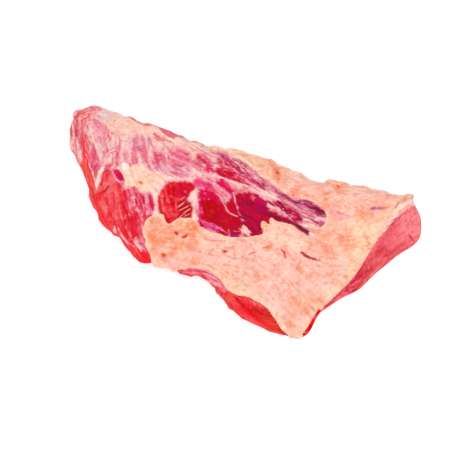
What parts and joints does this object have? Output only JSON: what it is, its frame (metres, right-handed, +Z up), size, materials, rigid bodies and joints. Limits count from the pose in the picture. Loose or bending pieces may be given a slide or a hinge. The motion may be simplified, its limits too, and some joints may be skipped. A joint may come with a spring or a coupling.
{
  "type": "beef tri-tip roast",
  "caption": "Raw whole beef tri-tip roast that tapers from a slanting cut end to a blunt tip, with a fat cap over the cut half of its upper face.",
  "frame": {"origin": "centre of the bounding box in plan, at the height of the flat foot the roast rests on", "axes": "+X along the roast from the blunt tip to the cut end, +Z up, -Y the side where the cut end thins to a tongue"},
  "size_m": [0.3178, 0.1674, 0.0584],
  "materials": {
    "lean": "moist raw red meat, softly glossy",
    "fat_cap": "smooth waxy cream fat"
  },
  "bodies": {
    "root": {"lean": "lean", "fat_cap": "fat_cap"}
  },
  "joints": []
}
